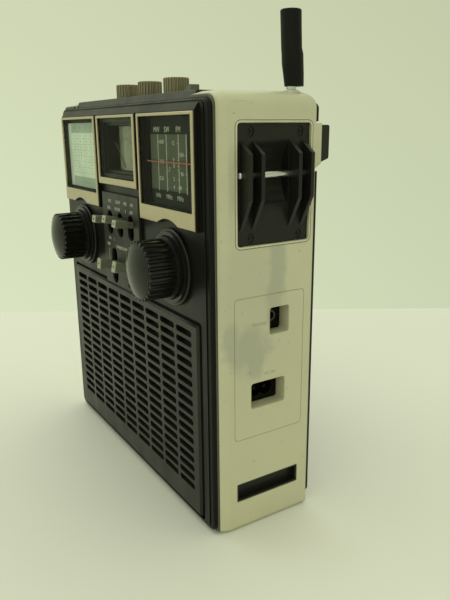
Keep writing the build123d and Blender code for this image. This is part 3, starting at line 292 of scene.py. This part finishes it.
# finish: linear colour, then what differs from plastic's own settings
PLASTICS = {
    "shell_black": ((0.007, 0.0075, 0.006), dict(rough=0.34, dust=0.06, grain=0.015, edge=3.0, spec=0.2)),
    "panel_grey": ((0.022, 0.024, 0.018), dict(rough=0.4, dust=0.12, scale=900, edge=2.2, spec=0.3)),
    "dial_black": ((0.0045, 0.005, 0.004), dict(rough=0.45, dust=0.08, grain=0.01, spec=0.12)),
    # groove sets how wide the knob flutes are that get painted shade
    "knob_black": (
        (0.005, 0.0054, 0.0042),
        dict(rough=0.18, dust=0.05, grain=0.01, edge=4.5, spec=0.34, groove=2.5),
    ),
    "lever_grey": ((0.15, 0.16, 0.115), dict(rough=0.45, dust=0.2, edge=1.25)),
    "connector_black": (
        (0.013, 0.0138, 0.0108),
        dict(rough=0.36, dust=0.08, grain=0.015, edge=2.4, spec=0.26),
    ),
    "pad_rubber": (
        (0.0075, 0.0078, 0.0058),
        dict(rough=0.6, dust=0.15, grain=0.05, scale=1100, edge=2.5, spec=0.2),
    ),
    "speaker_paper": ((0.01, 0.01, 0.009), dict(rough=0.85, dust=0.3, grain=0.08, scale=500, spec=0.2)),
    "chart_pale": ((0.8, 0.875, 0.83), dict(rough=0.5, dust=0.06, grain=0.004, edge=1.0)),
    "scale_pale": ((0.27, 0.28, 0.225), dict(rough=0.24, dust=0.1, grain=0.004, edge=1.0, spec=0.5)),
    "pointer_red": ((0.4, 0.085, 0.045), dict(rough=0.4, dust=0.05, grain=0.004, edge=1.1)),
    "board": ((0.15, 0.105, 0.04), dict(rough=0.55, dust=0.15, grain=0.03)),
    "ferrite": ((0.04, 0.038, 0.036), dict(rough=0.7, dust=0.2, grain=0.06)),
    "cells": ((0.28, 0.1, 0.03), dict(rough=0.35, dust=0.1, grain=0.01)),
    "cap_satin": ((0.009, 0.01, 0.0078), dict(rough=0.2, dust=0.1, grain=0.006, edge=3.0, spec=0.28)),
    "rim_black": ((0.0042, 0.0045, 0.0036), dict(rough=0.36, dust=0.05, grain=0.015, edge=3.0, spec=0.14)),
    "rim_dusty": (
        (0.021, 0.0215, 0.017),
        dict(rough=0.55, dust=0.2, grain=0.03, scale=900, edge=1.8, spec=0.25),
    ),
    "grille_dusty": ((0.015, 0.016, 0.0125), dict(rough=0.36, grain=0.015, edge=3.0, spec=0.28)),
    "grip_black": (
        (0.0048, 0.005, 0.004),
        dict(rough=0.5, dust=0.1, grain=0.03, scale=900, edge=2.5, spec=0.16),
    ),
    "socket_black": ((0.0034, 0.0036, 0.003), dict(rough=0.4, dust=0.05, grain=0.01, edge=3.0, spec=0.1)),
    # lighter than the case's cream, a painted highlight along the recess lip's rounded top
    "lip_cream": ((0.64, 0.62, 0.465), dict(rough=0.3, dust=0.06, grain=0.008, edge=1.1)),
    # painted shadow: dark ring colour for the shade just outside the recess lip
    "seam_dark": ((0.11, 0.105, 0.07), dict(rough=0.6, dust=0.1, grain=0.01, edge=1.2, spec=0.2)),
    "mask_black": ((0.006, 0.0065, 0.005), dict(rough=0.5, dust=0.1, grain=0.01, edge=1.5, spec=0.15)),
    "print_white": ((0.56, 0.58, 0.5), dict(rough=0.5, dust=0.15, grain=0.002, edge=1.0)),
    "print_scale": ((0.055, 0.06, 0.042), dict(rough=0.5, dust=0.12, grain=0.004, edge=1.0)),
    "print_band": ((0.43, 0.51, 0.47), dict(rough=0.5, dust=0.1, grain=0.002, edge=1.0)),
    "print_grey": ((0.3, 0.29, 0.22), dict(rough=0.5, dust=0.2, grain=0.002, edge=1.0)),
    "print_dark": ((0.05, 0.055, 0.045), dict(rough=0.5, dust=0.1, grain=0.002, edge=1.0)),
    "lever_face": ((0.34, 0.36, 0.275), dict(dust=0.15, grain=0.01, edge=1.15)),
}
# finish: linear colour, then what differs from metal's own settings
METALS = {
    "frame_champagne": (
        (0.52, 0.45, 0.31),
        dict(stretch=(12, 12, 1), scale=500, grime=0.12, metallic=0.75),
    ),
    # groove sets how wide the flutes are that get painted shade
    "knob_bronze": (
        (0.3, 0.265, 0.185),
        dict(rough=0.34, stretch=(1, 1, 10), scale=300, grime=0.35, metallic=0.85, groove=1.5),
    ),
    "steel": ((0.64, 0.64, 0.61), dict(rough=0.22, stretch=(12, 1, 12), scale=400, grime=0.2)),
    "screw_black": ((0.013, 0.013, 0.011), dict(rough=0.42, scale=700, grime=0.2, metallic=0.4)),
    "speaker_steel": ((0.2, 0.195, 0.18), dict(rough=0.4)),
    "antenna_chrome": ((0.62, 0.62, 0.59), dict(rough=0.12, stretch=(1, 1, 14), scale=400, grime=0.12)),
    "ring_worn": ((0.16, 0.16, 0.135), dict(rough=0.4, scale=500, grime=0.4)),
}


def make_looks():
    """Every finish by name."""
    looks = {"case_cream": cream_look(), "window_clear": clear_look()}
    for maker, table in ((plastic, PLASTICS), (metal, METALS)):
        for name, (colour, settings) in table.items():
            looks[name] = maker(name, (*colour, 1), **settings)
    return looks


def clear_look():
    """Clear window plastic with a faint smeared reflection off its outer skin."""
    look = Look("window_clear")
    smear = look.noise(80, 5, 0.7)
    through = look.node("ShaderNodeBsdfTransparent", {"Color": (0.93, 0.95, 0.92, 1)})
    sheen = look.remap(smear, 0.35, 0.75, 0.04, 0.14)
    gloss = look.node("ShaderNodeBsdfGlossy", {"Color": (1, 1, 1, 1), "Roughness": sheen})
    outer = look.maths("SUBTRACT", 1.0, look.node("ShaderNodeNewGeometry").outputs["Backfacing"])
    share = look.remap(look.node("ShaderNodeFresnel", {"IOR": 1.4}).outputs[0], 0, 1, 0.0, 0.16)
    share = look.maths("MULTIPLY", share, outer)
    blend = look.node("ShaderNodeMixShader", {0: share, 1: through.outputs[0], 2: gloss.outputs[0]})
    output = next(n for n in look.tree.nodes if n.type == "OUTPUT_MATERIAL")
    look.tree.links.new(blend.outputs[0], output.inputs["Surface"])
    look.tree.nodes.remove(look.shader)
    return look


# ---------------------------------------------------------------- geometry helpers
def piece(name, bm, look, body, smooth=False):
    """A mesh object from bmesh, in the frame, riding on a body."""
    mesh = bpy.data.meshes.new(name)
    bmesh.ops.recalc_face_normals(bm, faces=bm.faces)
    bm.to_mesh(mesh)
    bm.free()
    made = bpy.data.objects.new(name, mesh)
    bpy.context.scene.collection.objects.link(made)
    mesh.materials.append(LOOKS[look].material)
    for polygon in mesh.polygons:
        polygon.use_smooth = smooth
    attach(made, body)
    return made


def add_box(bm, low, high, turn=None):
    """A block between two corners, in millimetres."""
    size = [(b - a) * MM for a, b in zip(low, high)]
    middle = [(a + b) / 2 * MM for a, b in zip(low, high)]
    matrix = Matrix.Translation(middle) @ Matrix.Diagonal((*size, 1))
    bmesh.ops.create_cube(bm, size=1, matrix=matrix if turn is None else turn @ matrix)


def add_text(bm, text, size, at, facing, depth=0.05, align="CENTER"):
    """Raised lettering in the built-in font. size is the letter height in millimetres."""
    curve = bpy.data.curves.new("text", "FONT")
    curve.body = text
    curve.size = size * MM / 0.7
    curve.extrude = depth / 2 * MM
    curve.resolution_u = 2
    curve.align_x = align
    curve.align_y = "CENTER"
    holder = bpy.data.objects.new("text", curve)
    bpy.context.scene.collection.objects.link(holder)
    bpy.context.view_layer.update()
    mesh = bpy.data.meshes.new_from_object(holder)
    mesh.transform(Matrix.Translation([c * MM for c in at]) @ facing)
    bm.from_mesh(mesh)
    bpy.data.objects.remove(holder)
    bpy.data.curves.remove(curve)
    bpy.data.meshes.remove(mesh)


FRONT = Matrix.Rotation(math.radians(90), 4, "X")
RIGHT = Matrix(((0, 0, 1, 0), (1, 0, 0, 0), (0, 1, 0, 0), (0, 0, 0, 1)))


def front_block(bm, x0, x1, z0, z1, face, depth=0.05):
    """A thin block standing depth proud of a front-facing surface at y = face, in millimetres."""
    add_box(bm, (x0, face - depth, z0), (x1, face, z1))


LOOKS = make_looks()


# nodes whose finish differs from the one packed for them
SPECIAL = {
    "front_rim": "rim_black", "rear_pads": "rim_dusty", "antenna_grip": "grip_black",
    "grille_panel": "grille_dusty", "phone_jack": "socket_black", "power_inlet": "socket_black",
}


def dress_nodes():
    """Gives every CAD node its finish: by its packed material slot, or by name where it differs."""
    for name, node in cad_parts.items():
        slot = node.material_slots[0].material.name.split(".")[0]
        node.material_slots[0].material = LOOKS[SPECIAL.get(name, slot)].material


make_camera()
dress_nodes()


def softened(node, width=0.25, angle=38):
    """Takes the knife edge off a CAD node: its faces are welded, then bevelled a fraction of a millimetre."""
    weld = node.modifiers.new("weld", "WELD")
    weld.merge_threshold = 0.004 * MM
    bevel = node.modifiers.new("bevel", "BEVEL")
    bevel.width = width * MM
    bevel.segments = 2
    bevel.limit_method = "ANGLE"
    bevel.angle_limit = math.radians(angle)
    bevel.harden_normals = True


def recess_ring(side, name, look, profile):
    """A ring round a strap fitting, a moulded lip or a thin sheet of painted shadow, through a profile of
    reach outward and rise, in mm.
    """
    low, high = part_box("strap_bracket_right")
    wall_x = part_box("case_band")[1].x / MM
    corner = 1.6
    corners = (
        (high.y / MM, high.z / MM, 1, 1, 0),
        (low.y / MM, high.z / MM, -1, 1, 90),
        (low.y / MM, low.z / MM, -1, -1, 180),
        (high.y / MM, low.z / MM, 1, -1, 270),
    )
    bm = bmesh.new()
    loops = []
    for reach, rise in profile:
        loop = []
        for edge_y, edge_z, along_y, along_z, start in corners:
            for i in range(7):
                angle = math.radians(start + 15 * i)
                y = edge_y - along_y * corner + (corner + reach) * math.cos(angle)
                z = edge_z - along_z * corner + (corner + reach) * math.sin(angle)
                loop.append(bm.verts.new((side * (wall_x + rise) * MM, y * MM, z * MM)))
        loops.append(loop)
    count = len(loops[0])
    for a, b in zip(loops, loops[1:] + loops[:1]):
        for i in range(count):
            bm.faces.new((a[i], a[(i + 1) % count], b[(i + 1) % count], b[i]))
    return piece(name, bm, look, "case", smooth=look == "lip_cream")


# lip profile; the ring is coloured lighter than the case as a painted highlight
LIP = (
    (0.4, -1.2), (0.4, 0.1), (0.5, 0.24), (0.75, 0.3),
    (1.05, 0.3), (1.25, 0.22), (1.35, 0.0), (1.35, -1.2),
)
# painted shadow: a thin dark ring laid just outside the lip, where the groove round the recess falls in shade
GROOVE_SHADOW_PROFILE = ((1.45, -0.4), (1.45, 0.03), (1.75, 0.03), (1.75, -0.4))


def dial_print():
    """Band headings, units, numbers and graduations on the tuning dial."""
    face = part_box("tuning_dial")[0].y / MM
    bm = bmesh.new()
    front_block(bm, 42.6, 84.4, 190.0, 219.4, face, 0.06)
    piece("dial_scale_field", bm, "print_scale", "case")
    top = face - 0.06
    bm = bmesh.new()
    for x in (51.6, 61.4, 75.0, 83.4):
        front_block(bm, x - 0.28, x + 0.28, 189.4, 219.4, top, 0.04)
    for x, text in ((50.2, "MW"), (62.2, "SW"), (75.0, "FM")):
        add_text(bm, text, 2.9, (x, face, 221.7), FRONT, 0.08)
    for x, text in ((50.2, "kHz"), (63.2, "MHz"), (75.6, "MHz")):
        add_text(bm, text, 2.5, (x, face, 186.6), FRONT, 0.08)
    short_wave = (
        (69.2, 214.9, "12"), (69.3, 206.2, "9"), (69.7, 203.4, "8"), (64.6, 201.2, "7"), (69.4, 196.4, "5"),
        (69.2, 192.2, "4"),
    )
    scales = (
        (51.6, ((55.6, 215.4, "1600"), (55.3, 205.0, "1000"), (55.0, 196.0, "530"))),
        (75.0, short_wave),
        (83.4, ((78.0, 209.1, "104"), (78.4, 199.5, "96"), (75.9, 192.2, "88"))),
    )
    for rail, marks in scales:
        side = -1.6 if rail > 60 else 1.6
        for x, z, text in marks:
            add_text(bm, text, 2.2, (x, top, z), FRONT, 0.08)
            front_block(bm, min(rail, rail + side), max(rail, rail + side), z - 0.13, z + 0.13, top, 0.04)
    for i in range(24):
        z = 191.2 + i * 1.16
        front_block(bm, 61.4, 62.4 if i % 4 else 63.4, z - 0.1, z + 0.1, top, 0.04)
    piece("dial_marks", bm, "print_white", "case")


def chart_print():
    """The left window's band chart: a heading band, a footer band and faint ruled rows."""
    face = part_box("chart_plate")[0].y / MM
    bm = bmesh.new()
    front_block(bm, -88.5, -41.0, 219.8, 226.2, face, 0.04)
    front_block(bm, -88.5, -41.0, 182.0, 189.6, face, 0.04)
    for i in range(7):
        front_block(bm, -88.5, -41.0, 192.4 + i * 3.9, 192.6 + i * 3.9, face, 0.03)
    for x in (-76.0, -64.0, -52.0):
        front_block(bm, x - 0.1, x + 0.1, 189.6, 219.8, face, 0.03)
    piece("chart_bands", bm, "print_band", "case")
    bm = bmesh.new()
    for i, (x, text) in enumerate(((-82.0, "SW"), (-71.0, "49"), (-60.0, "31"), (-50.0, "25"))):
        add_text(bm, text, 1.9, (x, face - 0.04, 223.2), FRONT, 0.04)
        for row in range(7):
            number = str(3 + row * 2 + i)
            add_text(bm, number, 1.5, (x, face, 194.4 + row * 3.9), FRONT, 0.04)
    add_text(bm, "0   1   2   3   4   5   6", 1.7, (-64.5, face - 0.04, 185.8), FRONT, 0.04)
    piece("chart_marks", bm, "print_grey", "case")
    low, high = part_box("chart_plate")
    bm = bmesh.new()
    front_block(bm, low.x / MM, high.x / MM, 226.4, high.z / MM, face, 0.05)
    front_block(bm, low.x / MM, high.x / MM, low.z / MM, 182.6, face, 0.05)
    front_block(bm, -45.6, high.x / MM, 182.6, 226.4, face, 0.05)
    piece("chart_mask", bm, "mask_black", "case")


def meter_print():
    """A needle and a plain graduated arc on the level meter."""
    low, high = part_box("meter_scale")
    face = low.y / MM
    middle = (low.x + high.x) / 2 / MM
    foot = low.z / MM + 2.0
    bm = bmesh.new()
    for i in range(11):
        angle = math.radians(-48 + i * 9.6)
        turn = Matrix.Translation((middle * MM, 0, foot * MM)) @ Matrix.Rotation(angle, 4, "Y")
        add_box(bm, (-0.16, face - 0.05, 16.2), (0.16, face, 19.2 if i % 5 == 0 else 18.0), turn)
    for i, text in ((0, "0"), (5, "5"), (10, "10")):
        angle = math.radians(-48 + i * 9.6)
        place = (middle + 21.2 * math.sin(angle), face, foot + 21.2 * math.cos(angle))
        add_text(bm, text, 1.8, place, FRONT, 0.06)
    piece("meter_marks", bm, "print_dark", "case")
    bm = bmesh.new()
    turn = Matrix.Translation((middle * MM, 0, foot * MM)) @ Matrix.Rotation(math.radians(-40), 4, "Y")
    add_box(bm, (-0.2, face - 0.9, 0.0), (0.2, face - 0.5, 18.4), turn)
    piece("meter_needle", bm, "print_dark", "case")


def switch_print():
    """Small labels beside the five levers."""
    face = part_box("switch_panel")[0].y / MM
    bm = bmesh.new()
    rows = (
        (178.5, 2.0, ((-15.0, "AFC"), (-1.8, "LIGHT"), (9.6, "MIC"), (19.0, "FM"))),
        (173.9, 2.0, ((-17.2, "ON"), (-3.2, "METER"), (9.6, "S"), (17.8, "OFF"))),
        (154.0, 1.9, ((-18.0, "ON"), (-11.0, "L"))),
        (149.6, 2.2, ((-20.6, "OFF"), (-0.5, "NARROW"), (10.6, "WIDE"))),
    )
    for z, size, labels in rows:
        for x, text in labels:
            add_text(bm, text, size, (x, face, z - 0.7), FRONT, 0.06)
    front_block(bm, -20.2, -19.8, 137.0, 146.0, face, 0.05)
    piece("switch_labels", bm, "print_white", "case")


# the phone socket's axis: Y and Z in millimetres
PHONE_AXIS = (7.2, 122.6)


def socket_print():
    """Faint captions beside the two side sockets."""
    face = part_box("jack_panel")[1].x / MM
    bm = bmesh.new()
    add_text(bm, "PHONE", 1.9, (face, -5.0, 121.4), RIGHT, 0.04)
    add_text(bm, "AC IN", 1.9, (face, 2.2, 92.4), RIGHT, 0.04)
    piece("socket_captions", bm, "print_grey", "case")
    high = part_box("phone_jack")[1]
    bm = bmesh.new()
    loops = []
    for radius, rise in ((2.35, -0.1), (2.4, 0.12), (2.65, 0.18), (2.95, 0.12), (3.0, -0.1)):
        loop = []
        for i in range(32):
            angle = math.radians(11.25 * i)
            y = PHONE_AXIS[0] + radius * math.cos(angle)
            z = PHONE_AXIS[1] + radius * math.sin(angle)
            loop.append(bm.verts.new(Vector((high.x / MM + rise, y, z)) * MM))
        loops.append(loop)
    for a, b in zip(loops, loops[1:] + loops[:1]):
        for i in range(32):
            bm.faces.new((a[i], a[(i + 1) % 32], b[(i + 1) % 32], b[i]))
    piece("phone_socket_ring", bm, "ring_worn", "case", smooth=True)


def lever_faces():
    """The pale pad with a dark dot that each lever carries on its end."""
    levers = (
        ("lever_upper_left", "lever_ul", 7.5, 163.7, 2.1),
        ("lever_upper_middle", "lever_um", 11.5, 163.7, 2.1),
        ("lever_upper_right", "lever_ur", 9, 163.7, 2.1),
        ("lever_lower_left", "lever_ll", 6, 135.7, 3.3),
        ("lever_lower_right", "lever_lr", 11, 135.7, 3.3),
    )
    for node, body, tilt, pivot_z, half in levers:
        low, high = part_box(node)
        middle = (low.x + high.x) / 2 / MM
        pivot = Vector((middle, -23.0, pivot_z))
        turn = Matrix.Translation(pivot * MM) @ Matrix.Rotation(math.radians(-tilt), 4, "X")
        bm = bmesh.new()
        outer = [(-2.6, -half), (2.6, -half), (2.6, half), (-2.6, half)]
        rings = []
        for inset, reach in ((0, 23.7), (0, 24.2), (0.45, 24.5), (0.9, 24.5), (1.1, 24.35)):
            ring = []
            for x, z in outer:
                place = (x - math.copysign(inset, x), -reach, z - math.copysign(inset, z))
                ring.append(bm.verts.new(turn @ (Vector(place) * MM)))
            rings.append(ring)
        for a, b in zip(rings, rings[1:]):
            for i in range(4):
                bm.faces.new((a[i], a[(i + 1) % 4], b[(i + 1) % 4], b[i]))
        bm.faces.new(rings[0][::-1])
        bm.faces.new(rings[-1])
        piece(node + "_pad", bm, "lever_face", body)
        bm = bmesh.new()
        dot = turn @ Matrix.Translation((0, -24.35 * MM, 0)) @ Matrix.Rotation(math.radians(90), 4, "X")
        bmesh.ops.create_cone(
            bm, cap_ends=True, segments=20, radius1=0.75 * MM, radius2=0.6 * MM, depth=0.35 * MM, matrix=dot
        )
        piece(node + "_dot", bm, "print_dark", body)


# ---------------------------------------------------------------- stage
def make_floor():
    """A pale floor that ends behind the object, where the open background takes over."""
    ahead = Vector((-math.sin(YAW), math.cos(YAW), 0))
    level = Vector((math.cos(YAW), math.sin(YAW), 0))
    far, near, half = 0.748, -3.0, 4.0
    base = Vector((EYE.x, EYE.y, 0))
    bm = bmesh.new()
    spans = ((near, -half), (near, half), (far, half), (far, -half))
    corners = [base + ahead * d + level * w for d, w in spans]
    bm.faces.new([bm.verts.new(c) for c in corners])
    mesh = bpy.data.meshes.new("floor")
    bm.to_mesh(mesh)
    bm.free()
    floor = bpy.data.objects.new("floor", mesh)
    bpy.context.scene.collection.objects.link(floor)
    look = Look("floor_paper", 0.55, Specular_IOR_Level=0.2)
    look.set("Base Color", look.mix(look.noise(6, 3, 0.5), (0.78, 0.775, 0.745, 1), (0.80, 0.795, 0.765, 1)))
    mesh.materials.append(look.material)


def area_light(name, place, target, size, power, colour):
    data = bpy.data.lights.new(name, "AREA")
    data.shape = "RECTANGLE"
    data.size, data.size_y = size
    data.energy = power
    data.color = colour
    lamp = bpy.data.objects.new(name, data)
    lamp.location = place
    lamp.rotation_euler = (Vector(target) - Vector(place)).to_track_quat("-Z", "Y").to_euler()
    bpy.context.scene.collection.objects.link(lamp)


def make_light():
    """A pale room that dims to the right and upward, with a wide lamp overhead and two at the front."""
    world = bpy.data.worlds.new("room")
    bpy.context.scene.world = world
    world.use_nodes = True
    tree = world.node_tree
    back = tree.nodes["Background"]
    coords = tree.nodes.new("ShaderNodeTexCoord").outputs["Generated"]
    ramp = tree.nodes.new("ShaderNodeValToRGB")
    for direction, low, high, start, end, target in (
        ((0, 0, 1), -0.28, 0.18, 0.0, 1.0, ramp.inputs[0]),
        ((math.cos(YAW), math.sin(YAW), 0), -0.34, 0.34, 1.07, 0.93, back.inputs[1]),
    ):
        along = tree.nodes.new("ShaderNodeVectorMath")
        along.operation = "DOT_PRODUCT"
        along.inputs[1].default_value = direction
        spread = tree.nodes.new("ShaderNodeMapRange")
        for index, value in enumerate((low, high, start, end), 1):
            spread.inputs[index].default_value = value
        tree.links.new(coords, along.inputs[0])
        tree.links.new(along.outputs["Value"], spread.inputs[0])
        tree.links.new(spread.outputs[0], target)
    tree.links.new(ramp.outputs[0], back.inputs[0])
    stops = ramp.color_ramp.elements
    stops[0].position, stops[0].color = 0.0, srgb(211, 221, 186)
    stops[1].position, stops[1].color = 1.0, srgb(202, 209, 175)
    area_light("overhead", (-0.5, 0.22, 1.8), (0, 0, 0.1), (2.6, 2.6), 15.0, (1.0, 0.99, 0.90))
    area_light("window_side", (-1.1, -0.9, 0.95), (0, 0, 0.12), (0.7, 0.7), 2.2, (0.95, 1.0, 0.93))
    area_light("room_fill", (1.3, -0.9, 1.3), (0, 0, 0.1), (1.6, 1.6), 3.4, (1.0, 0.98, 0.90))
    view = bpy.context.scene.view_settings
    view.view_transform = "Standard"
    view.look = "None"


SOFTENED = {
    "window_frame_left": 0.15, "window_frame_centre": 0.15, "window_frame_right": 0.15,
    "lever_upper_left": 0.4, "lever_upper_middle": 0.4, "lever_upper_right": 0.4,
    "lever_lower_left": 0.4, "lever_lower_right": 0.4,
    "strap_bracket_right": 0.3, "strap_bracket_left": 0.3, "battery_door": 0.3, "light_key": 0.3,
    "front_panel": 0.3, "top_deck": 0.35, "switch_panel": 0.2,
}
for name, width in SOFTENED.items():
    softened(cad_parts[name], width)
for side, name in ((1, "right"), (-1, "left")):
    recess_ring(side, "recess_lip_" + name, "lip_cream", LIP)
    # painted shadow ring just outside the lip
    recess_ring(side, "recess_groove_shadow_" + name, "seam_dark", GROOVE_SHADOW_PROFILE)
dial_print()
chart_print()
meter_print()
switch_print()
socket_print()
lever_faces()
make_floor()
make_light()
